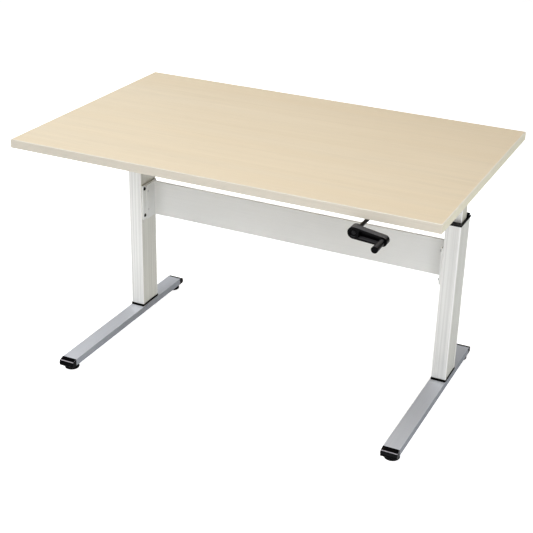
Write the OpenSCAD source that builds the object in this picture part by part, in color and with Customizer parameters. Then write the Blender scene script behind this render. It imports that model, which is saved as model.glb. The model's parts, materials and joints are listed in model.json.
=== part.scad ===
// Hand-cranked height-adjustable table: a laminate top on two telescopic columns with floor runners.
// Millimetres, +Z up, X along the long side, -Y towards the person who sits at it.
// The origin is the middle of the whole footprint, crank handle included, on the floor.

/* [Tabletop] */
// Length of the top along X
top_w = 1200; // [1100:10:1400]
// Depth of the top along Y
top_d = 750; // [700:10:800]
// Thickness of the top
top_t = 24; // [22:1:28]
// Height of the writing surface above the floor
top_h = 710; // [705:1:760]
// Thickness of the edge band
band_t = 3; // [2:0.5:4]

/* [Columns] */
// Distance of each column's axis from the middle of the table
col_x = 500.5; // [440:0.5:505]
// How far the columns stand behind the middle of the top
col_back = 120; // [90:1:130]
// Width of the outer column along X
col_w = 44; // [40:0.5:45]
// Depth of the outer column along Y
col_d = 88; // [86:1:100]
// Length of the outer column
col_len = 475.5; // [470:0.5:480]
// Width of the inner column along X
inner_w = 33.4; // [32:0.1:33.4]
// Depth of the inner column along Y
inner_d = 47; // [44:0.5:48]

/* [Floor runners] */
// Distance of each runner's axis from the middle of the table
foot_x = 499.5; // [440:0.5:500]
// Width of a runner
foot_w = 47; // [46:1:60]
// Height of a runner
foot_h = 21.5; // [20:0.5:24]
// Length of a runner without its end caps
foot_len = 610; // [560:5:700]
// Length of an end cap outside the runner
cap_len = 23; // [20:1:26]
// Radius of a levelling glide
glide_r = 21.5; // [15:0.5:23]
// Clearance between the floor and the runner
foot_z = 13; // [12:0.5:16]

/* [Crossbeam] */
// Height of the crossbeam
beam_h = 110; // [100:1:120]
// Depth of the crossbeam's flanges
beam_d = 7; // [5:1:16]
// Height of the crossbeam's lower edge above the floor
beam_z = 330; // [300:1:340]

/* [Crank] */
// Distance of the crank from the middle of the table
crank_x = 395; // [250:1:400]
// Distance of the crank's axis below the top
crank_drop = 29.5; // [29:0.5:31]
// Distance from the crank's axis to its grip
crank_r = 72.8; // [71:0.1:76]
// Angle by which the arm droops below level at rest
crank_droop = 6.3; // [0:0.1:20]
// Depth of the crank's arm along Y
arm_d = 19; // [19:0.5:21]
// Radius of the grip at its outer end
grip_r = 8.7; // [8.4:0.1:9]
// Length of the grip in front of the arm
grip_out = 51; // [44:1:51]

/* [Hidden] */
$fn = 64;

SILVER = [0.72, 0.73, 0.75];
WHITE_ALU = [0.88, 0.88, 0.86];
PLATE_GREY = [0.76, 0.77, 0.77];
BEAM_GREY = [0.82, 0.82, 0.80];
STEEL = [0.62, 0.63, 0.65];
BRASS = [0.75, 0.62, 0.35];
BLACK = [0.07, 0.07, 0.08];
MAPLE = [0.87, 0.78, 0.63];
BAND = [0.86, 0.83, 0.74];

fit = 0.05;
slide_gap = 0.3;

// Heights and places shared by the parts
top_z = top_h - top_t;
crank_y = -(grip_out + arm_d + 6) / 2;
top_y = -crank_y;
front_y = top_y - top_d / 2;
col_y = top_y + col_back;
foot_top = foot_z + foot_h;
gasket_t = 6.5;
col_z = foot_top + gasket_t;
col_top = col_z + col_len;
axis_z = top_z - crank_drop;

// Outer column section
col_corner_r = 3.5;
col_wall = 3;
web_t = 1.6;
chamber_w = col_w - 2 * col_wall;
chamber_d = inner_d + 2.4;
panel_d = col_d - 16;
panel_t = 1.2;
port_r = 5.5;
port_y = col_d / 2 - 10;
bolt_r = 4;

// Runner section and glides
foot_wall = 2;
glide_y = foot_len / 2 - 10;
stud_r = 4;
disc_h = 7.5;
plug_len = 24;
stiffener_t = 5;

// Collar on the outer column
collar_over = 1.7;
collar_t = 3.5;
collar_pad_h = 6;

// Inner column and its glide
inner_wall = 2;
gear_reach = 18;
inner_top = axis_z - gear_reach - 4;
glide_base = 4;
glide_z = col_z + 122.5;
inner_z = glide_z + glide_base;

// Spindle
screw_r = 7;
journal_r = 5;
screw_bottom = col_z + 126;
shoulder_z = inner_top - 20.3;
nut_r = 12;
nut_z = col_z + 332.5;
nut_h = 26;
nut_tube_r = 10.5;

// Gearboxes
case_w = 44;
gear_small = 8;
gear_big = 14;
gear_play = 0.4;
case_screw_at = 18.2;
case_corners = [for (x = [-1, 1]) for (y = [-1, 1]) [x * case_screw_at, y * case_screw_at]];

// Under the top
rail_web_t = 3;
hanger_y = front_y + 95;

// Crossbeam and its brackets
beam_t = 2;
beam_y = col_y - col_d / 2 + 68;
bend_r = 4;
plate_t = 2.5;
stand_off = 3;
flange_t = 2.5;
col_face = col_x - col_w / 2;
beam_half = col_face - stand_off - plate_t;
tab_len = 45;
bracket_z = beam_z + 3;
bracket_screw_y = col_y - col_d / 2 + 12;
tab_screw_y = col_y - col_d / 2 + 30;
bracket_screw_z = 43.5;
tab_screw_z = 30;
bracket_mid_z = bracket_z + beam_h / 2 + 1.5;
tab_mid_z = beam_z + beam_h / 2 + 5;

// Crank
hub_r = 15;
hub_extra = 6;
arm_end_r = 12;
arm_front = front_y - hub_extra - arm_d;
hub_screw_r = 2.5;
ring_r = 10;
ring_depth = 4;
shaft_y = arm_front + ring_depth + 2;
recess_depth = 15;
recess_start = 13.2;
grip_root_r = grip_r - 1;
grip_play = 0.4;
pivot_depth = 5;
pin_r = 1.6;
spindle_r = 3.5;
sleeve_start = pivot_depth + 0.8;
sleeve_end = pivot_depth + grip_out;
snap_at = sleeve_end - 10;

// ---- helpers ------------------------------------------------------------------------------------

// A rectangle with round corners, centred on the origin
module rounded_rect(w, d, r) {
    square([w - 2 * r, d], center = true);
    square([w, d - 2 * r], center = true);
    for (x = [-1, 1]) {
        for (y = [-1, 1]) {
            translate([x * (w / 2 - r), y * (d / 2 - r)]) circle(r);
        }
    }
}

// A rounded upright block standing on z = 0
module rounded_block(w, d, h, r) {
    linear_extrude(h) rounded_rect(w, d, r);
}

// A box centred in X and Y that stands on z = 0
module post(w, d, h) {
    translate([-w / 2, -d / 2, 0]) cube([w, d, h]);
}

// The right-hand piece as drawn, or its mirror image on the left
module on_side(side) {
    if (side == "left") {
        mirror([1, 0, 0]) children();
    } else {
        children();
    }
}

// A cylinder that points along +Y from its base
module along_y(r, h, fn = 64) {
    rotate([-90, 0, 0]) cylinder(r = r, h = h, $fn = fn);
}

// A cylinder that points along +X from its base
module along_x(r, h, fn = 64) {
    rotate([0, 90, 0]) cylinder(r = r, h = h, $fn = fn);
}

// A cylinder with a wider head below it, pointing up from z = 0
module headed_screw(r, h, head_r, head_h) {
    cylinder(r = r, h = h);
    translate([0, 0, -head_h]) cylinder(r = head_r, h = head_h);
}

// ---- floor runners ------------------------------------------------------------------------------

// Section of a runner: a flat tube whose sides have a dark undercut above a bulged lower half
module foot_section() {
    difference() {
        translate([0, foot_h / 2]) rounded_rect(foot_w, foot_h, 1.5);
        translate([0, foot_h / 2]) {
            square([foot_w - 2 * foot_wall - 2, foot_h - 2 * foot_wall], center = true);
        }
        for (s = [-1, 1]) {
            translate([s * foot_w / 2, 0]) {
                polygon([
                    [s, foot_h - 2.5], [-s * 1.6, foot_h - 4.5],
                    [-s * 1.6, foot_h - 6.5], [0, foot_h - 12], [s, foot_h - 12]
                ]);
            }
        }
    }
}

module foot_tube(side) {
    on_side(side) color(SILVER) difference() {
        translate([foot_x, top_y + foot_len / 2, foot_z]) {
            rotate([90, 0, 0]) linear_extrude(foot_len) foot_section();
        }
        for (y = [-1, 0, 1]) {
            translate([col_x, col_y + y * port_y, foot_z - 1]) {
                cylinder(r = bolt_r + fit, h = foot_h + 2);
                cylinder(r = 9, h = foot_wall + 2);
            }
        }
        for (y = [-1, 1]) {
            translate([foot_x, top_y + y * glide_y, foot_z - 1]) cylinder(r = stud_r + 1, h = foot_wall + 2);
        }
    }
}

// Side view of a cap's outer body: a sloping top, a round brow and a blunt nose below it
module cap_profile() {
    brow_r = 7;
    brow = [cap_len - 10.2, foot_h - 10.3];
    polygon([
        [0, 0], [cap_len - 5, 0], [cap_len, 4], [cap_len, 0.4 * foot_h],
        brow + brow_r * [cos(25), sin(25)], brow + brow_r * [cos(75), sin(75)], [1.5, foot_h], [0, foot_h]
    ]);
    translate(brow) circle(brow_r);
}

module foot_cap(side, end) {
    inside_w = foot_w - 2 * foot_wall - 2 - 2 * fit;
    inside_h = foot_h - 2 * foot_wall - 2 * fit;
    on_side(side) color(BLACK) translate([foot_x, top_y, foot_z]) mirror([0, end == "front" ? 1 : 0, 0]) {
        translate([0, foot_len / 2, 0]) intersection() {
            translate([-foot_w / 2, 0, 0]) {
                rotate([90, 0, 90]) linear_extrude(foot_w) cap_profile();
            }
            translate([0, cap_len - 40, -1]) rounded_block(foot_w, 80, foot_h + 2, 5);
        }
        difference() {
            translate([-inside_w / 2, foot_len / 2 - plug_len, foot_wall + fit]) {
                cube([inside_w, plug_len, inside_h]);
            }
            translate([0, glide_y, 0]) cylinder(r = stud_r + fit, h = foot_h - foot_wall - 1.5);
        }
    }
}

module foot_stiffeners() {
    plate_w = foot_w - 2 * foot_wall - 3;
    color(STEEL) for (x = [-1, 1]) {
        difference() {
            translate([x * foot_x, col_y, foot_top - foot_wall - stiffener_t]) {
                post(plate_w, col_d + 60, stiffener_t);
            }
            for (y = [-1, 0, 1]) {
                translate([x * col_x, col_y + y * port_y, foot_z]) cylinder(r = bolt_r + fit, h = foot_h);
            }
        }
    }
}

module column_foot_bolts() {
    color(STEEL) for (x = [-1, 1]) {
        for (y = [-1, 0, 1]) {
            bolt_len = y == 0 ? 15 : 34;
            translate([x * col_x, col_y + y * port_y, foot_top - foot_wall - stiffener_t]) {
                headed_screw(bolt_r, bolt_len, 6.5, 5);
            }
        }
    }
}

module levelling_glide(side, end) {
    on_side(side) color(BLACK) {
        translate([foot_x, top_y + (end == "front" ? -1 : 1) * glide_y, 0]) {
            rotate_extrude() polygon([
                [0, 0], [glide_r - 1, 0], [glide_r, 1], [glide_r, 5], [glide_r - 2, disc_h], [0, disc_h]
            ]);
            translate([0, 0, disc_h]) cylinder(r = 9, h = foot_z - disc_h - slide_gap, $fn = 6);
            translate([0, 0, foot_z - slide_gap - 1]) cylinder(r = stud_r, h = foot_h - 4.5);
        }
    }
}

// ---- columns ------------------------------------------------------------------------------------

module column_gaskets() {
    color(BLACK) for (x = [-1, 1]) {
        translate([x * col_x, col_y, foot_top]) difference() {
            rounded_block(col_w + 1, col_d + 5, gasket_t, 3.5);
            for (y = [-1, 0, 1]) {
                translate([0, y * port_y, -1]) cylinder(r = bolt_r + fit, h = gasket_t + 2);
            }
        }
    }
}

// Three chambers: the middle one guides the inner column, the others carry the screw ports
module column_section() {
    end_chamber_d = (col_d - chamber_d) / 2 - col_wall - web_t;
    end_chamber_y = (chamber_d + end_chamber_d) / 2 + web_t;
    difference() {
        rounded_rect(col_w, col_d, col_corner_r);
        square([chamber_w, chamber_d], center = true);
        for (s = [-1, 1]) {
            translate([s * col_w / 2, 0]) square([2 * panel_t, panel_d], center = true);
            difference() {
                translate([0, s * end_chamber_y]) square([chamber_w, end_chamber_d], center = true);
                translate([0, s * port_y]) circle(port_r);
                translate([-1, s > 0 ? port_y : -col_d / 2]) square([2, col_d / 2 - port_y]);
            }
            translate([0, s * port_y]) circle(bolt_r);
        }
    }
}

module outer_column(side) {
    on_side(side) color(WHITE_ALU) difference() {
        translate([col_x, col_y, col_z]) linear_extrude(col_len) column_section();
        for (z = [-1, 1]) {
            translate([col_face - 1, bracket_screw_y, bracket_mid_z + z * bracket_screw_z]) {
                along_x(3 + fit, 6);
            }
        }
    }
}

module column_collar(side) {
    opening_w = inner_w + 2 * slide_gap;
    opening_d = inner_d + 2 * slide_gap;
    on_side(side) color(BLACK) translate([col_x, col_y, col_top]) difference() {
        union() {
            rounded_block(col_w + 2 * collar_over, col_d + 2 * collar_over, collar_t - 1, 3.5);
            translate([0, 0, collar_t - 1]) {
                rounded_block(col_w + 2 * collar_over - 1.6, col_d + 2 * collar_over - 1.6, 1, 2.7);
            }
            translate([0, col_d / 2 - 9, 0]) rounded_block(col_w - 1, 18, collar_t + collar_pad_h, 5);
            for (s = [-1, 1]) {
                translate([0, s * (opening_d + chamber_d) / 4, -45]) {
                    post(chamber_w - 1, (chamber_d - opening_d) / 2 - fit, 45.5);
                }
            }
        }
        translate([0, 0, -50]) post(opening_w, opening_d, 60);
    }
}

module inner_column(side) {
    on_side(side) color(WHITE_ALU) translate([col_x, col_y, inner_z]) {
        linear_extrude(inner_top - inner_z) difference() {
            rounded_rect(inner_w, inner_d, 2.5);
            square([inner_w - 2 * inner_wall, inner_d - 2 * inner_wall], center = true);
        }
    }
}

module lower_glide(side) {
    pad_t = (chamber_d - inner_d) / 2 - slide_gap;
    on_side(side) color(BLACK) translate([col_x, col_y, glide_z]) difference() {
        union() {
            post(chamber_w - 2 * slide_gap, chamber_d - 2 * slide_gap, glide_base);
            for (s = [-1, 1]) {
                translate([0, s * (inner_d + pad_t) / 2, 0]) post(chamber_w - 2, pad_t, 60);
            }
        }
        translate([0, 0, -1]) cylinder(r = nut_r + 0.8, h = glide_base + 2);
    }
}

module nut_tube(side) {
    on_side(side) color(STEEL) translate([col_x, col_y, col_z]) difference() {
        union() {
            post(chamber_w - 1, chamber_d - 1, 4);
            cylinder(r = nut_tube_r, h = nut_z - col_z);
        }
        translate([0, 0, 8]) cylinder(r = screw_r + 1, h = nut_z - col_z);
        translate([0, 0, -1]) cylinder(r = bolt_r, h = 8);
    }
}

module spindle_nuts() {
    color(BRASS) for (x = [-1, 1]) {
        translate([x * col_x, col_y, nut_z]) difference() {
            cylinder(r = nut_r, h = nut_h);
            translate([0, 0, -1]) cylinder(r = screw_r + fit, h = nut_h + 2);
        }
    }
}

// ---- crossbeam ----------------------------------------------------------------------------------

// Plan of the beam's web with its two end tabs bent forwards
module beam_plan() {
    difference() {
        translate([0, -tab_len]) beam_outline(beam_half, tab_len + beam_t, bend_r);
        translate([0, -tab_len]) beam_outline(beam_half - beam_t, tab_len, bend_r - beam_t);
    }
}

// A rectangle on the X axis whose two far corners are round
module beam_outline(half, depth, r) {
    translate([-half, 0]) square([2 * half, depth - r]);
    translate([-half + r, 0]) square([2 * (half - r), depth]);
    for (x = [-1, 1]) {
        translate([x * (half - r), depth - r]) circle(r);
    }
}

module crossbeam() {
    flange_half = beam_half - bend_r - 1;
    color(BEAM_GREY) translate([0, beam_y, beam_z]) difference() {
        union() {
            linear_extrude(beam_h) beam_plan();
            for (z = [0, beam_h - beam_t]) {
                translate([-flange_half, 0, z]) cube([2 * flange_half, beam_d, beam_t]);
            }
        }
        for (z = [-tab_screw_z, tab_screw_z]) {
            translate([-beam_half - 1, tab_screw_y - beam_y, tab_mid_z - beam_z + z]) {
                along_x(2 + fit, 2 * beam_half + 2);
            }
        }
    }
}

// A shallow channel: the plate that carries the beam, with a flange to the column at each end
module beam_bracket(side) {
    plate_y0 = col_y - col_d / 2 + 4;
    plate_len = col_d - 8;
    on_side(side) color(PLATE_GREY) difference() {
        union() {
            translate([beam_half, plate_y0, bracket_z]) cube([plate_t, plate_len, beam_h]);
            for (y = [plate_y0, plate_y0 + plate_len - flange_t]) {
                translate([beam_half, y, bracket_z]) cube([plate_t + stand_off, flange_t, beam_h]);
            }
        }
        for (z = [-bracket_screw_z, bracket_screw_z]) {
            translate([beam_half - 1, bracket_screw_y, bracket_mid_z + z]) along_x(3 + fit, plate_t + 2);
        }
        for (z = [-tab_screw_z, tab_screw_z]) {
            translate([beam_half - 1, tab_screw_y, tab_mid_z + z]) along_x(2, plate_t + 2);
        }
    }
}

module bracket_spacers() {
    spacer_t = stand_off + panel_t;
    for (side = ["left", "right"]) {
        on_side(side) color(BLACK) for (z = [-bracket_screw_z, bracket_screw_z]) {
            translate([beam_half + plate_t, bracket_screw_y, bracket_mid_z + z]) difference() {
                along_x(3.9, spacer_t);
                translate([-1, 0, 0]) along_x(3 + fit, spacer_t + 2);
            }
        }
    }
}

module bracket_screws() {
    for (side = ["left", "right"]) {
        on_side(side) color(BLACK) for (z = [-bracket_screw_z, bracket_screw_z]) {
            translate([beam_half, bracket_screw_y, bracket_mid_z + z]) difference() {
                union() {
                    along_x(3, 16);
                    rotate([0, -90, 0]) rotate_extrude() {
                        polygon([[0, 0], [5.6, 0], [5.2, 1.5], [3.6, 2.8], [0, 2.8]]);
                    }
                }
                translate([-4, 0, 0]) along_x(2.3, 2.8, 6);
            }
        }
    }
}

module beam_tab_screws() {
    for (side = ["left", "right"]) {
        on_side(side) color(STEEL) for (z = [-tab_screw_z, tab_screw_z]) {
            translate([beam_half - beam_t, tab_screw_y, tab_mid_z + z]) {
                along_x(2, plate_t + beam_t);
                rotate([0, -90, 0]) cylinder(r1 = 3.6, r2 = 2.8, h = 1.4);
            }
        }
    }
}

// ---- tabletop -----------------------------------------------------------------------------------

function underside_screw_places() = [
    for (x = [-1, 1]) for (dx = [-18, 18]) for (y = [-270, 0, 270]) [x * col_x + dx, top_y + y],
    for (dx = [-11, 11]) [crank_x + dx, hanger_y + 10]
];

module tabletop_board() {
    color(MAPLE) difference() {
        translate([0, top_y, top_z]) post(top_w - 2 * band_t, top_d - 2 * band_t, top_t);
        for (p = underside_screw_places()) {
            translate([p.x, p.y, top_z - 1]) cylinder(r = 2.2, h = 16);
        }
        for (p = case_corners) {
            translate([crank_x + p.x, col_y + p.y, top_z - 1]) cylinder(r = 2, h = 16);
        }
    }
}

// A strip along +X with its two outer edges rounded; its outer face looks along -Y
module edge_strip(length) {
    r = 1.5;
    rotate([90, 0, 90]) linear_extrude(length) {
        translate([r, 0]) square([band_t - r, top_t]);
        translate([0, r]) square([band_t, top_t - 2 * r]);
        for (z = [r, top_t - r]) {
            translate([r, z]) circle(r);
        }
    }
}

module long_edge_band(end) {
    color(BAND) translate([0, top_y, top_z]) mirror([0, end == "rear" ? 1 : 0, 0]) {
        translate([-top_w / 2, -top_d / 2, 0]) edge_strip(top_w);
    }
}

module short_edge_band(side) {
    short_len = top_d - 2 * band_t;
    on_side(side) color(BAND) translate([top_w / 2, top_y - short_len / 2, top_z]) {
        rotate([0, 0, 90]) edge_strip(short_len);
    }
}

module support_rail(side) {
    rail_w = 60;
    rail_d = 600;
    on_side(side) color(STEEL) translate([col_x, top_y, top_z]) difference() {
        translate([0, 0, -20]) post(rail_w, rail_d, 20);
        translate([0, 0, -21]) post(rail_w - 2 * rail_web_t, rail_d + 2, 21 - rail_web_t);
        for (dx = [-18, 18]) {
            for (y = [-270, 0, 270]) {
                translate([dx, y, -10]) cylinder(r = 2.2 + fit, h = 20);
            }
        }
        for (p = case_corners) {
            translate([p.x, col_back + p.y, -10]) cylinder(r = 2, h = 20);
        }
    }
}

module underside_screws() {
    color(STEEL) for (p = underside_screw_places()) {
        under = abs(p.x - crank_x) < 12 ? 8 : rail_web_t;
        translate([p.x, p.y, top_z - under]) headed_screw(2.2, 14 + under, 4.5, 2.4);
    }
}

// ---- gearboxes ----------------------------------------------------------------------------------

// Cavity of a gearbox: a cross that leaves four solid corners for the screws
module case_cavity(h) {
    linear_extrude(h) {
        square([37, 29], center = true);
        square([29, 37], center = true);
    }
}

// Lower half of a gearbox, with its shaft axis on z = 0
module case_half() {
    depth = gear_reach + 4;
    difference() {
        translate([0, 0, -depth]) rounded_block(case_w, case_w, depth, 3);
        translate([0, 0, -gear_reach]) case_cavity(depth);
        for (p = case_corners) {
            translate([p.x, p.y, -depth - 1]) {
                cylinder(r = 2 + fit, h = depth + 2);
                cylinder(r = 3.6, h = 4.2);
            }
        }
    }
}

module lid_half(h) {
    difference() {
        rounded_block(case_w, case_w, h, 3);
        translate([0, 0, -1]) case_cavity(17);
        for (p = case_corners) {
            translate([p.x, p.y, -1]) cylinder(r = 2 + fit, h = h + 2);
        }
    }
}

module sync_shaft_hole(length) {
    along_x(journal_r + 0.08, length);
}

module leg_gearbox_case(side) {
    spigot_h = 20;
    on_side(side) color(BLACK) translate([col_x, col_y, axis_z]) difference() {
        union() {
            case_half();
            translate([0, 0, -gear_reach - 4 - spigot_h]) {
                post(inner_w - 2 * inner_wall - 2 * fit, inner_d - 2 * inner_wall - 2 * fit, spigot_h + 1);
            }
        }
        translate([0, 0, -gear_reach - 5 - spigot_h]) {
            cylinder(r = journal_r + 1, h = spigot_h + 10);
            cylinder(r = 11 + fit, h = 11);
        }
        translate([-case_w, 0, 0]) sync_shaft_hole(case_w);
    }
}

module leg_gearbox_lid(side) {
    on_side(side) color(BLACK) translate([col_x, col_y, axis_z]) difference() {
        lid_half(crank_drop - rail_web_t);
        translate([-case_w, 0, 0]) sync_shaft_hole(case_w);
    }
}

module crank_gearbox_case() {
    color(BLACK) translate([crank_x, col_y, axis_z]) difference() {
        case_half();
        translate([-case_w, 0, 0]) sync_shaft_hole(2 * case_w);
        translate([0, -case_w, 0]) along_y(journal_r + 0.08, case_w);
    }
}

module crank_gearbox_lid() {
    color(BLACK) translate([crank_x, col_y, axis_z]) difference() {
        lid_half(crank_drop);
        translate([-case_w, 0, 0]) sync_shaft_hole(2 * case_w);
        translate([0, -case_w, 0]) along_y(journal_r + 0.08, case_w);
    }
}

module gearbox_screws() {
    for (x = [-col_x, crank_x, col_x]) {
        leg_reach = gear_reach + 0.8 + crank_drop - 0.2;
        reach = x == crank_x ? leg_reach + 13 : leg_reach;
        color(STEEL) for (p = case_corners) {
            translate([x + p.x, col_y + p.y, axis_z - gear_reach - 0.8]) headed_screw(2, reach, 3.4, 2.8);
        }
    }
}

module screw_thrust_bearings() {
    for (x = [-col_x, col_x]) {
        color(STEEL) translate([x, col_y, inner_top - 20]) difference() {
            cylinder(r = 11, h = 9.9);
            translate([0, 0, -1]) cylinder(r = journal_r + fit, h = 12);
        }
    }
}

module crank_shaft_hanger() {
    hanger_w = 32;
    color(BLACK) translate([crank_x, hanger_y, axis_z]) difference() {
        union() {
            translate([-hanger_w / 2, 0, crank_drop - 8]) cube([hanger_w, 20, 8]);
            translate([-9, 0, 0]) cube([18, 20, crank_drop - 1]);
            along_y(11, 20);
        }
        translate([0, -1, 0]) along_y(journal_r + 0.06, 22);
        for (dx = [-11, 11]) {
            translate([dx, 10, crank_drop - 9]) cylinder(r = 2.2 + fit, h = 10);
            translate([dx, 10, -1]) cylinder(r = 4.8, h = crank_drop - 7);
        }
    }
}

// ---- gears, spindles and shafts -----------------------------------------------------------------

// A straight tooth space cut along the flank of the gear's cone
module tooth_space() {
    depth = 1.8;
    translate([gear_big - gear_play, 0, -gear_big]) rotate([0, -45, 0]) translate([0, 0, -3]) {
        linear_extrude(14) polygon([[1, 1.9], [1, -1.9], [-depth, -0.7], [-depth, 0.7]]);
    }
}

// A bevel gear below its apex, with a hub on its back
module bevel_gear(bore_r, bore_fn = 64) {
    teeth = 12;
    difference() {
        union() {
            translate([0, 0, -gear_big]) {
                cylinder(r1 = gear_big - gear_play, r2 = gear_small - gear_play, h = gear_big - gear_small);
            }
            translate([0, 0, -gear_reach + fit]) cylinder(r = 9, h = gear_reach - gear_big);
        }
        for (i = [0 : teeth - 1]) {
            rotate([0, 0, i * 360 / teeth]) tooth_space();
        }
        translate([0, 0, -gear_reach - 1]) cylinder(r = bore_r, h = gear_reach, $fn = bore_fn);
    }
}

module lead_screw(side) {
    on_side(side) color(STEEL) translate([col_x, col_y, 0]) {
        translate([0, 0, screw_bottom]) cylinder(r = screw_r, h = shoulder_z - screw_bottom);
        translate([0, 0, shoulder_z - 1]) cylinder(r = journal_r, h = axis_z - gear_small - shoulder_z + 1);
    }
}

module sync_shaft() {
    reach = col_x - gear_small;
    color(STEEL) translate([-reach, col_y, axis_z]) along_x(journal_r, 2 * reach, 6);
}

module screw_gear(side) {
    on_side(side) color(STEEL) translate([col_x, col_y, axis_z]) bevel_gear(journal_r + fit);
}

module sync_bevel_gears() {
    color(STEEL) {
        translate([col_x, col_y, axis_z]) rotate([0, 90, 0]) bevel_gear(journal_r + fit, 6);
        translate([crank_x, col_y, axis_z]) rotate([0, 90, 0]) bevel_gear(journal_r + fit, 6);
        translate([-col_x, col_y, axis_z]) rotate([0, -90, 0]) bevel_gear(journal_r + fit, 6);
    }
}

module crank_bevel_gear() {
    color(STEEL) translate([crank_x, col_y, axis_z]) rotate([-90, 0, 0]) bevel_gear(journal_r + fit);
}

// ---- crank and folding grip ---------------------------------------------------------------------

// The crank's own frame: X runs along the arm, the shaft's axis is Y
module at_crank() {
    translate([crank_x, 0, axis_z]) rotate([0, crank_droop, 0]) children();
}

// The grip's own frame: the hinge pin is Z and the grip points along +X
module at_grip() {
    at_crank() translate([crank_r, arm_front + pivot_depth, 0]) rotate([0, 0, -90]) children();
}

// Two circles of different radii joined by their common tangents
module tapered_bar(r1, r2, length) {
    lean = asin((r1 - r2) / length);
    circle(r1);
    translate([length, 0]) circle(r2);
    polygon([
        [r1 * sin(lean), r1 * cos(lean)], [length + r2 * sin(lean), r2 * cos(lean)],
        [length + r2 * sin(lean), -r2 * cos(lean)], [r1 * sin(lean), -r1 * cos(lean)]
    ]);
}

module crank_shaft() {
    color(BLACK) difference() {
        translate([crank_x, shaft_y, axis_z]) along_y(journal_r, col_y - gear_small - shaft_y);
        translate([crank_x, shaft_y - 1, axis_z]) along_y(hub_screw_r, 14);
    }
}

module crank_arm() {
    color(BLACK) at_crank() difference() {
        union() {
            translate([0, arm_front, 0]) along_y(hub_r, arm_d + hub_extra);
            translate([0, arm_front, 0]) rotate([-90, 0, 0]) {
                linear_extrude(arm_d) tapered_bar(hub_r, arm_end_r, crank_r);
            }
        }
        translate([0, arm_front - 1, 0]) rotate([-90, 0, 0]) linear_extrude(recess_depth + 1) {
            translate([crank_r, 0]) circle(grip_root_r + grip_play);
            polygon([
                [recess_start, grip_r + grip_play], [crank_r, grip_root_r + grip_play],
                [crank_r, -grip_root_r - grip_play], [recess_start, -grip_r - grip_play]
            ]);
        }
        translate([0, arm_front - 1, 0]) along_y(ring_r, ring_depth + 1);
        translate([0, arm_front, 0]) along_y(hub_screw_r + fit, arm_d);
        translate([0, shaft_y, 0]) along_y(journal_r + fit, arm_d + hub_extra);
        translate([crank_r, arm_front + pivot_depth, -arm_end_r - 1]) {
            cylinder(r = pin_r, h = 2 * arm_end_r + 2);
        }
    }
}

module crank_hub_screw() {
    color(BLACK) at_crank() translate([0, arm_front + ring_depth, 0]) {
        along_y(hub_screw_r, 14);
        translate([0, -2.4, 0]) difference() {
            along_y(4.8, 2.4);
            translate([0, -1, 0]) along_y(2, 2.6, 6);
        }
    }
}

module grip_hinge_pin() {
    pin_len = 2 * arm_end_r - 1.4;
    color(STEEL) at_crank() translate([crank_r, arm_front + pivot_depth, -pin_len / 2]) {
        cylinder(r = pin_r, h = pin_len);
    }
}

module grip_spindle() {
    knuckle_h = 2 * grip_root_r - 3;
    color(BLACK) at_grip() difference() {
        union() {
            translate([0, 0, -knuckle_h / 2]) cylinder(r = 5, h = knuckle_h);
            along_x(6.8, sleeve_start - slide_gap);
            along_x(spindle_r, sleeve_end - 5);
            translate([snap_at, 0, 0]) along_x(spindle_r + 0.8, 2);
        }
        translate([0, 0, -knuckle_h]) cylinder(r = pin_r + fit, h = 2 * knuckle_h);
        translate([-grip_r, -2, -knuckle_h]) cube([grip_r - 4, 4, 2 * knuckle_h]);
    }
}

module grip_sleeve() {
    round_r = 1.5;
    bore_r = spindle_r + 0.06;
    color(BLACK) at_grip() rotate([0, 90, 0]) rotate_extrude() difference() {
        union() {
            polygon([
                [0, sleeve_start], [grip_root_r - 0.6, sleeve_start], [grip_root_r, sleeve_start + 0.6],
                [grip_r, sleeve_end - round_r], [grip_r - round_r, sleeve_end - round_r],
                [grip_r - round_r, sleeve_end], [0, sleeve_end]
            ]);
            translate([grip_r - round_r, sleeve_end - round_r]) circle(round_r);
        }
        translate([-1, sleeve_start - 1]) square([1 + bore_r, sleeve_end - 4.5 - sleeve_start + 1]);
        translate([-1, snap_at - slide_gap]) square([1 + bore_r + 1.05, 2 + 2 * slide_gap]);
        translate([-20, 0]) square([20, 2 * sleeve_end]);
    }
}

// ---- the nodes ----------------------------------------------------------------------------------

foot_tube("left");  // left_foot_tube
foot_tube("right");  // right_foot_tube
foot_cap("left", "front");  // left_front_foot_cap
foot_cap("left", "rear");  // left_rear_foot_cap
foot_cap("right", "front");  // right_front_foot_cap
foot_cap("right", "rear");  // right_rear_foot_cap
foot_stiffeners();
column_foot_bolts();
column_gaskets();
outer_column("left");  // left_outer_column
outer_column("right");  // right_outer_column
column_collar("left");  // left_column_collar
column_collar("right");  // right_column_collar
nut_tube("left");  // left_nut_tube
nut_tube("right");  // right_nut_tube
spindle_nuts();
crossbeam();
beam_bracket("left");  // left_beam_bracket
beam_bracket("right");  // right_beam_bracket
bracket_spacers();
bracket_screws();
beam_tab_screws();
levelling_glide("left", "front");  // left_front_glide
levelling_glide("left", "rear");  // left_rear_glide
levelling_glide("right", "front");  // right_front_glide
levelling_glide("right", "rear");  // right_rear_glide
tabletop_board();
long_edge_band("front");  // front_edge_band
long_edge_band("rear");  // rear_edge_band
short_edge_band("left");  // left_edge_band
short_edge_band("right");  // right_edge_band
inner_column("left");  // left_inner_column
inner_column("right");  // right_inner_column
lower_glide("left");  // left_lower_glide
lower_glide("right");  // right_lower_glide
support_rail("left");  // left_support_rail
support_rail("right");  // right_support_rail
underside_screws();
leg_gearbox_case("left");  // left_gearbox_case
leg_gearbox_lid("left");  // left_gearbox_lid
leg_gearbox_case("right");  // right_gearbox_case
leg_gearbox_lid("right");  // right_gearbox_lid
crank_gearbox_case();
crank_gearbox_lid();
gearbox_screws();
screw_thrust_bearings();
crank_shaft_hanger();
lead_screw("left");  // left_lead_screw
lead_screw("right");  // right_lead_screw
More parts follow.
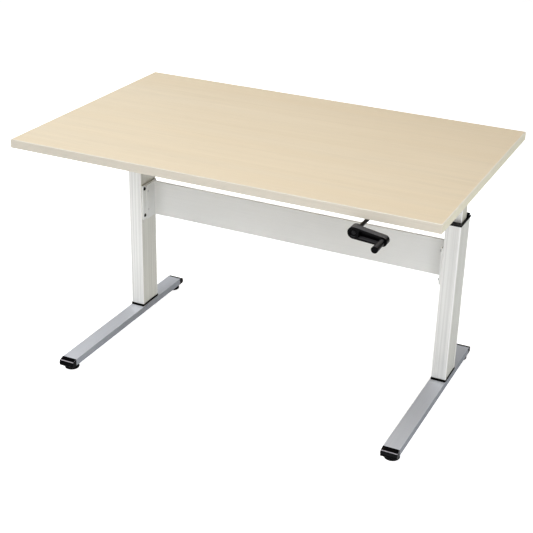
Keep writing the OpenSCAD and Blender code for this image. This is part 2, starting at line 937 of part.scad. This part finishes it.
screw_gear("left");  // left_screw_gear
screw_gear("right");  // right_screw_gear
sync_shaft();
sync_bevel_gears();
crank_shaft();
crank_bevel_gear();
crank_arm();
crank_hub_screw();
grip_hinge_pin();
grip_spindle();
grip_sleeve();
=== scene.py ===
import json
import math

import bmesh
import bpy
from mathutils import Matrix, Vector


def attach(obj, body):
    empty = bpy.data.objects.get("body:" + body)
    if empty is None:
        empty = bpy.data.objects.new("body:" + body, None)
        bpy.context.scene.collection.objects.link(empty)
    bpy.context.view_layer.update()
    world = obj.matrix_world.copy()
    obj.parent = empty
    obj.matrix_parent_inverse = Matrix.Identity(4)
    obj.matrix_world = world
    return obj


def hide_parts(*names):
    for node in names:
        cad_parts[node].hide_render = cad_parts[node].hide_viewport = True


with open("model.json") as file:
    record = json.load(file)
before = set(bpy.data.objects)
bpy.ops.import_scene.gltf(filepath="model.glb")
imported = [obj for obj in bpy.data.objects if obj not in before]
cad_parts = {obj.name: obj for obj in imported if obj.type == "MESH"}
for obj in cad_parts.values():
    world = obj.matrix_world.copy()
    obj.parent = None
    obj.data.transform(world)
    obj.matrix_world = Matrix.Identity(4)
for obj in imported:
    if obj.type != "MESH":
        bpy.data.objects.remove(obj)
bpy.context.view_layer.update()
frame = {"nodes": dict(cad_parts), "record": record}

MM = 0.001
NODES = frame["nodes"]
BODY_OF = {
    node: body
    for body, members in frame["record"]["behaviour"]["bodies"].items()
    for node in members
}
SLOT_OF = {part["node"]: part["material_slot"] for part in frame["record"]["subparts"]}

WHITE = (1.0, 1.0, 1.0)


# ---- shader graphs ------------------------------------------------------------------


class Graph:
    """A principled material, and short calls for the nodes that feed it."""

    def __init__(self, name, metallic=0.0, specular=0.5):
        self.material = bpy.data.materials.new(name)
        self.material.use_nodes = True
        self.tree = self.material.node_tree
        self.tree.nodes.clear()
        self.shader = self.tree.nodes.new("ShaderNodeBsdfPrincipled")
        output = self.tree.nodes.new("ShaderNodeOutputMaterial")
        self.tree.links.new(self.shader.outputs["BSDF"], output.inputs["Surface"])
        self.shader.inputs["Metallic"].default_value = metallic
        self.shader.inputs["Specular IOR Level"].default_value = specular
        texture = self.tree.nodes.new("ShaderNodeTexCoord")
        self.coords = texture.outputs["Object"]
        self.normal = texture.outputs["Normal"]

    def feed(self, socket, value):
        """Links a node's output to a socket, or sets the socket to a number or an rgb colour."""
        if isinstance(value, bpy.types.NodeSocket):
            self.tree.links.new(value, socket)
        elif isinstance(value, tuple):
            socket.default_value = (*value, 1.0)
        else:
            socket.default_value = value

    def stretched(self, scale):
        """Object coordinates multiplied by scale along each axis."""
        node = self.tree.nodes.new("ShaderNodeMapping")
        self.feed(node.inputs["Vector"], self.coords)
        node.inputs["Scale"].default_value = scale
        return node.outputs["Vector"]

    def noise(self, scale, detail=2.0, roughness=0.5, warp=0.0):
        """Noise with scale cells per metre along each axis."""
        node = self.tree.nodes.new("ShaderNodeTexNoise")
        self.feed(node.inputs["Vector"], self.stretched(scale))
        node.inputs["Scale"].default_value = 1.0
        node.inputs["Detail"].default_value = detail
        node.inputs["Roughness"].default_value = roughness
        node.inputs["Distortion"].default_value = warp
        return node.outputs["Fac"]

    def cells(self, scale):
        """Round cells, scale of them per metre."""
        node = self.tree.nodes.new("ShaderNodeTexVoronoi")
        self.feed(node.inputs["Vector"], self.coords)
        node.inputs["Scale"].default_value = scale
        return node.outputs["Distance"]

    def along(self, vector, axis):
        """One component of a vector, by the axis's letter."""
        node = self.tree.nodes.new("ShaderNodeSeparateXYZ")
        self.feed(node.inputs["Vector"], vector)
        return node.outputs[axis]

    def facing(self, axis, low=0.6, high=0.9, both=True):
        """1 where the part's own surface faces along an axis, 0 where it turns away."""
        lean = self.along(self.normal, axis)
        if both:
            lean = self.math("ABSOLUTE", lean)
        return self.ramp(lean, [(low, 0.0), (high, 1.0)])

    def ramp(self, value, stops):
        """stops: (position, grey or rgb) pairs."""
        node = self.tree.nodes.new("ShaderNodeValToRGB")
        self.feed(node.inputs["Fac"], value)
        elements = node.color_ramp.elements
        while len(elements) < len(stops):
            elements.new(0.5)
        for element, (position, colour) in zip(elements, stops):
            rgb = colour if isinstance(colour, tuple) else (colour,) * 3
            element.position = position
            element.color = (*rgb, 1.0)
        return node.outputs["Color"]

    def mix(self, factor, first, second, blend="MIX"):
        node = self.tree.nodes.new("ShaderNodeMix")
        node.data_type = "RGBA"
        node.blend_type = blend
        for name, value in (("Factor_Float", factor), ("A_Color", first), ("B_Color", second)):
            self.feed(next(s for s in node.inputs if s.identifier == name), value)
        return next(s for s in node.outputs if s.identifier == "Result_Color")

    def tinted(self, factor, base, shade):
        """base multiplied by shade, where factor is 1."""
        return self.mix(factor, base, self.mix(1.0, base, shade, "MULTIPLY"))

    def math(self, operation, first, second=0.0):
        node = self.tree.nodes.new("ShaderNodeMath")
        node.operation = operation
        self.feed(node.inputs[0], first)
        self.feed(node.inputs[1], second)
        return node.outputs[0]

    def weighted(self, first, first_weight, second, second_weight):
        """The sum of two values, each times its weight."""
        return self.math(
            "ADD",
            self.math("MULTIPLY", first, first_weight),
            self.math("MULTIPLY", second, second_weight),
        )

    def span(self, value, low, high):
        """Maps 0..1 onto low..high."""
        node = self.tree.nodes.new("ShaderNodeMapRange")
        self.feed(node.inputs["Value"], value)
        node.inputs["To Min"].default_value = low
        node.inputs["To Max"].default_value = high
        return node.outputs["Result"]

    def bump(self, height, strength, distance):
        node = self.tree.nodes.new("ShaderNodeBump")
        node.inputs["Strength"].default_value = strength
        node.inputs["Distance"].default_value = distance
        self.feed(node.inputs["Height"], height)
        return node.outputs["Normal"]

    def done(self, colour, roughness, normal=None):
        self.feed(self.shader.inputs["Base Color"], colour)
        self.feed(self.shader.inputs["Roughness"], roughness)
        if normal is not None:
            self.feed(self.shader.inputs["Normal"], normal)
        return self.material


def tint(colour, amount):
    return tuple(channel * amount for channel in colour)


def laminate(name, colour, contrast=1.0, arris_highlight=None, far_right_shade=None, end_face_light=None):
    """Printed maple: broad pale bands, fine streaks and short dark pores along X.

    arris_highlight is a painted highlight on the edge that faces up, far_right_shade is painted
    shade that darkens the board slowly towards its far right, and end_face_light is painted light
    on the faces that look along X.
    """
    g = Graph(name, specular=0.42)
    broad = g.noise((0.9, 9, 9), 3.0, 0.55, 0.6)
    bands = g.noise((1.6, 42, 42), 4.0, 0.6, 0.8)
    streaks = g.noise((3, 210, 210), 3.0, 0.6)
    pores = g.noise((16, 900, 900))
    light, middle, dark = (tint(colour, k) for k in (1.04, 1.0, 0.94))
    warm = (colour[0] * 0.97, colour[1] * 0.93, colour[2] * 0.86)
    base = g.ramp(bands, [(0.3, light), (0.52, middle), (0.72, dark)])
    base = g.mix(g.span(broad, -0.3 * contrast, 1.0 * contrast), base, warm)
    # painted shade: the board darkens slowly towards its far right and rear
    if far_right_shade:
        to_right = g.along(g.stretched((0.7, 1, 1)), "X")
        to_rear = g.along(g.stretched((1, 0.4, 1)), "Y")
        across = g.math("ADD", g.math("ADD", to_right, to_rear), 0.5)
        base = g.tinted(g.ramp(across, [(0.0, 0.0), (1.0, 1.0)]), base, far_right_shade)
    base = g.mix(g.ramp(streaks, [(0.45, 0.0), (0.75, 0.22 * contrast)]), base, tint(warm, 0.88))
    base = g.mix(g.ramp(pores, [(0.62, 0.0), (0.72, 0.3 * contrast)]), base, tint(warm, 0.7))
    # painted light: the faces that look along X are brightened
    if end_face_light:
        base = g.tinted(g.facing("X"), base, end_face_light)
    # painted highlight on the edge that faces up
    if arris_highlight:
        base = g.mix(g.facing("Z", 0.25, 0.6, both=False), base, arris_highlight)
    roughness = g.span(g.noise((5, 5, 5), 3.0), 0.40, 0.50)
    relief = g.weighted(streaks, 0.6, pores, -0.4)
    return g.done(base, roughness, g.bump(relief, 0.12, 0.2 * MM))


def silver_paint(name, colour, drawn=(600, 600, 5), metallic=0.45, rough=(0.36, 0.46),
                 side_shade=WHITE, ribs=0.0, corner_highlight=None):
    """Satin silver lacquer: tiny flakes, faint draw lines and the odd smudge.

    drawn has the draw lines per metre along each axis, ribs draws broader upright lines, side_shade
    is painted shade on the faces that look along X, and corner_highlight is the colour of a painted
    highlight on the upright rounded edges, where front and side faces meet.
    """
    g = Graph(name, metallic=metallic)
    flakes = g.noise((2600, 2600, 2600), 1.0)
    lines = g.noise(drawn, 3.0, 0.6)
    smudge = g.noise((9, 9, 9), 4.0, 0.6)
    base = g.mix(g.span(flakes, 0.0, 0.5), colour, tint(colour, 1.12))
    base = g.mix(g.ramp(lines, [(0.35, 0.0), (0.8, 0.35)]), base, tint(colour, 0.93))
    base = g.mix(g.ramp(smudge, [(0.5, 0.0), (0.9, 0.3)]), base, tint(colour, 0.94))
    relief = g.weighted(g.noise((420, 420, 420)), 0.7, lines, 0.5)
    if ribs:
        rib = g.noise((230, 230, 1), 2.0, 0.7)
        shades = g.ramp(rib, [(0.38, tint(colour, 0.88)), (0.62, tint(colour, 1.12))])
        base = g.mix(ribs, base, shades)
        relief = g.math("ADD", relief, g.math("MULTIPLY", rib, 2.0))
    # painted shade: the faces that look along X are darkened
    base = g.tinted(g.facing("X"), base, side_shade)
    # painted highlight on the upright rounded edges between front and side faces
    if corner_highlight:
        corner_highlight_mask = g.math("MULTIPLY", g.facing("X", 0.2, 0.4), g.facing("Y", 0.2, 0.4))
        base = g.mix(corner_highlight_mask, base, corner_highlight)
    roughness = g.math("ADD", g.span(smudge, *rough), g.span(flakes, -0.03, 0.03))
    return g.done(base, roughness, g.bump(relief, 0.10, 0.2 * MM))


def moulded(name, colour, rough=(0.26, 0.38), grain=1900, specular=0.3, top_sheen=None, brow_highlight=None):
    """Black moulded plastic or rubber with a fine spark texture and handling shine.

    grain is the spark cells per metre, top_sheen is a painted sheen on the faces that look up,
    and brow_highlight is a painted highlight on the rounds halfway to them.
    """
    g = Graph(name, specular=specular)
    spark = g.cells(grain)
    wear = g.noise((38, 38, 38), 4.0, 0.6)
    dust = g.noise((150, 150, 150), 3.0)
    base = g.mix(g.ramp(wear, [(0.45, 0.0), (0.8, 0.6)]), colour, tint(colour, 1.5))
    base = g.mix(g.ramp(dust, [(0.6, 0.0), (0.9, 0.25)]), base, tint(colour, 4.0))
    # painted sheen on the faces that look up
    if top_sheen:
        base = g.mix(g.facing("Z", 0.6, 0.97, both=False), base, top_sheen)
    # painted highlight on the rounds halfway between front and upward faces
    if brow_highlight:
        brow_highlight_mask = g.ramp(
            g.along(g.normal, "Z"), [(0.72, 0.0), (0.79, 1.0), (0.90, 1.0), (0.955, 0.0)]
        )
        base = g.mix(brow_highlight_mask, base, brow_highlight)
    roughness = g.math("ADD", g.span(wear, *rough), g.span(spark, -0.04, 0.04))
    return g.done(base, roughness, g.bump(spark, 0.22, 0.12 * MM))


def steel(name, colour, rough=(0.24, 0.42), turned=(900, 900, 900), metallic=1.0):
    """Plated or blackened steel or brass, with turned machining lines per metre along each axis."""
    g = Graph(name, metallic=metallic)
    lines = g.noise(turned, 3.0, 0.6)
    patches = g.noise((60, 60, 60), 3.0, 0.6)
    base = g.mix(g.ramp(patches, [(0.35, 0.0), (0.8, 0.5)]), colour, tint(colour, 0.8))
    base = g.mix(g.ramp(lines, [(0.4, 0.0), (0.7, 0.4)]), base, tint(colour, 1.12))
    roughness = g.math("ADD", g.span(patches, *rough), g.span(lines, -0.05, 0.05))
    return g.done(base, roughness, g.bump(lines, 0.12, 0.1 * MM))


MAPLE = (0.70, 0.615, 0.475)
BAND = (0.69, 0.645, 0.56)
COLUMN = (0.85, 0.86, 0.85)
INNER_COLUMN = (0.90, 0.91, 0.90)
RUNNER = (0.70, 0.73, 0.79)
BEAM = (0.85, 0.865, 0.86)
BLACK = (0.002, 0.002, 0.0025)
RUBBER = (0.002, 0.002, 0.002)

MATERIALS = {
    "maple_laminate": laminate("maple laminate", MAPLE, far_right_shade=(0.96, 0.93, 0.89)),
    "edge_band": laminate("maple edge band", BAND, contrast=0.6,
                          arris_highlight=(0.71, 0.665, 0.58), end_face_light=(1.15, 1.18, 1.08)),
    "column_aluminium": silver_paint("satin column lacquer", COLUMN, metallic=0.2,
                                     side_shade=(0.78, 0.78, 0.74), ribs=0.7, corner_highlight=WHITE),
    "inner_column": silver_paint("satin inner column lacquer", INNER_COLUMN, metallic=0.2,
                                 side_shade=(0.68, 0.66, 0.58), ribs=0.7, corner_highlight=WHITE),
    "foot_enamel": silver_paint("silver runner coat", RUNNER, drawn=(300, 8, 300),
                                rough=(0.5, 0.6), side_shade=(0.48, 0.49, 0.51)),
    "beam_enamel": silver_paint("silver beam coat", BEAM, drawn=(8, 300, 300), metallic=0.1,
                                side_shade=(0.86, 0.87, 0.88)),
    "black_plastic": moulded("black moulded plastic", BLACK, rough=(0.16, 0.26), specular=0.06),
    "cap_plastic": moulded("black cap plastic", BLACK, rough=(0.12, 0.2), specular=0.05,
                           brow_highlight=(0.42, 0.40, 0.44)),
    "crank_plastic": moulded("black crank plastic", BLACK, rough=(0.14, 0.24), specular=0.07,
                             top_sheen=(0.07, 0.07, 0.075)),
    "grip_plastic": moulded("black grip plastic", BLACK, rough=(0.14, 0.22), specular=0.06,
                            top_sheen=(0.035, 0.035, 0.038)),
    "gasket_rubber": moulded("black rubber", RUBBER, rough=(0.5, 0.65), grain=900,
                             specular=0.03),
    "black_steel": steel("blackened steel", (0.012, 0.012, 0.014), rough=(0.3, 0.42),
                         metallic=0.6),
    "zinc_steel": steel("zinc plated steel", (0.60, 0.61, 0.63)),
    "nut_brass": steel("turned brass", (0.62, 0.45, 0.19), turned=(700, 700, 60)),
}
OWN_LOOK = {"foot_cap": "cap_plastic", "inner_column": "inner_column", "crank_arm": "crank_plastic"}


# ---- pieces ---------------------------------------------------------------------------

WELD_DISTANCE = 0.002 * MM
FLAT_ANGLE = math.radians(0.3)
SHARP_ANGLE = math.radians(32)
ROUND_SEGMENTS = 3


def look(node):
    """The material a node wears: its slot's own, except where its kind has a look of its own."""
    for ending, material in OWN_LOOK.items():
        if node.endswith(ending):
            return MATERIALS[material]
    return MATERIALS[SLOT_OF[node]]


def dress(piece, node):
    piece.data.materials.clear()
    piece.data.materials.append(look(node))


def rounded_copy(node, radius):
    """The CAD node's own shape with a small round on every sharp edge, riding in its place."""
    bm = bmesh.new()
    bm.from_mesh(NODES[node].data)
    bmesh.ops.remove_doubles(bm, verts=bm.verts, dist=WELD_DISTANCE)
    bmesh.ops.dissolve_limit(bm, angle_limit=FLAT_ANGLE, verts=bm.verts, edges=bm.edges)
    mesh = bpy.data.meshes.new(node + "_rounded")
    bm.to_mesh(mesh)
    bm.free()
    mesh.shade_smooth()

    piece = bpy.data.objects.new(node + "_rounded", mesh)
    bpy.context.scene.collection.objects.link(piece)
    dress(piece, node)
    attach(piece, BODY_OF[node])
    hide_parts(node)

    bevel = piece.modifiers.new("rounds", "BEVEL")
    bevel.limit_method = "ANGLE"
    bevel.angle_limit = SHARP_ANGLE
    bevel.width = radius
    bevel.segments = ROUND_SEGMENTS
    bevel.use_clamp_overlap = False
    bevel.miter_outer = "MITER_ARC"
    normals = piece.modifiers.new("flat faces", "WEIGHTED_NORMAL")
    normals.keep_sharp = True


def both_sides(*kinds):
    return [side + "_" + kind for side in ("left", "right") for kind in kinds]


# radius in mm; the collars and gearbox cases meet at the lowest height and keep the CAD's edges
ROUNDS = {
    0.9: both_sides("front_foot_cap", "rear_foot_cap"),
    0.6: both_sides("gearbox_lid") + ["crank_gearbox_lid", "crossbeam", "column_gaskets"],
    0.5: both_sides("foot_tube", "beam_bracket", "support_rail", "front_glide", "rear_glide"),
    0.4: ["crank_arm", "grip_sleeve", "crank_shaft_hanger"],
    0.35: both_sides("outer_column", "inner_column"),
    0.3: ["bracket_screws", "bracket_spacers", "crank_hub_screw"],
}
for radius, nodes in ROUNDS.items():
    for node in nodes:
        rounded_copy(node, radius * MM)

for node, cad_object in NODES.items():
    dress(cad_object, node)


# ---- camera, floor and light ------------------------------------------------------------

CAMERA_PLACE = Vector((1.2679, -2.6879, 1.7362))
CAMERA_FORWARD = Vector((-0.38477, 0.81797, -0.42764))
CAMERA_ROLL = math.radians(1.385)
CAMERA_LENS = 78.23
CAMERA_SENSOR = 36

FLOOR_REACH = 30
FLOOR_COLOUR = (0.93, 0.93, 0.93)
FLOOR_GLOW = 0.75
SKY_STRENGTH = 0.08
AIM = (0, 0, 0.4)
SOFTBOXES = (
    # name, place, target, size, watts
    ("key left", (-2.6, -5.6, 4.8), AIM, (3.0, 2.4), 124),
    ("key right", (2.6, -3.4, 2.6), AIM, (2.0, 1.6), 66),
    ("overhead", (-0.2, -0.4, 3.4), (0, -0.2, 0.3), (3.0, 2.2), 66),
    ("left", (-3.6, 0.0, 2.2), AIM, (2.4, 2.0), 78),
    ("right", (10.0, 0.8, 4.6), AIM, (4.0, 3.4), 330),
)


def camera():
    """Standing at the front right, at eye height, looking slightly down."""
    forward = CAMERA_FORWARD.normalized()
    level_right = forward.cross(Vector((0, 0, 1))).normalized()
    level_up = level_right.cross(forward)
    right = math.cos(CAMERA_ROLL) * level_right + math.sin(CAMERA_ROLL) * level_up
    up = -math.sin(CAMERA_ROLL) * level_right + math.cos(CAMERA_ROLL) * level_up
    turn = Matrix((right, up, -forward)).transposed().to_4x4()
    data = bpy.data.cameras.new("camera")
    data.sensor_width = CAMERA_SENSOR
    data.lens = CAMERA_LENS
    view = bpy.data.objects.new("camera", data)
    bpy.context.scene.collection.objects.link(view)
    view.matrix_world = Matrix.Translation(CAMERA_PLACE) @ turn
    bpy.context.scene.camera = view


def floor():
    """A pale floor. Only the camera sees its glow, so it adds no light to the table."""
    quarters = ((-1, -1), (1, -1), (1, 1), (-1, 1))
    corner_highlight = [(x * FLOOR_REACH, y * FLOOR_REACH, 0) for x, y in quarters]
    mesh = bpy.data.meshes.new("floor")
    mesh.from_pydata(corner_highlight, [], [(0, 1, 2, 3)])
    plane = bpy.data.objects.new("floor", mesh)
    bpy.context.scene.collection.objects.link(plane)
    g = Graph("pale floor", specular=0.1)
    mesh.materials.append(g.done(FLOOR_COLOUR, 0.8))
    seen = g.tree.nodes.new("ShaderNodeLightPath").outputs["Is Camera Ray"]
    g.feed(g.shader.inputs["Emission Color"], WHITE)
    g.feed(g.shader.inputs["Emission Strength"], g.math("MULTIPLY", seen, FLOOR_GLOW))


def softbox(name, place, target, size, watts):
    data = bpy.data.lights.new(name, "AREA")
    data.shape = "RECTANGLE"
    data.size, data.size_y = size
    data.energy = watts
    light = bpy.data.objects.new(name, data)
    bpy.context.scene.collection.objects.link(light)
    light.location = place
    aim = Vector(target) - Vector(place)
    light.rotation_euler = aim.to_track_quat("-Z", "Y").to_euler()


def sky():
    world = bpy.data.worlds.new("studio")
    bpy.context.scene.world = world
    world.use_nodes = True
    background = world.node_tree.nodes["Background"]
    background.inputs["Color"].default_value = (*WHITE, 1.0)
    background.inputs["Strength"].default_value = SKY_STRENGTH


camera()
floor()
sky()
for lamp in SOFTBOXES:
    softbox(*lamp)
bpy.context.scene.view_settings.view_transform = "Standard"
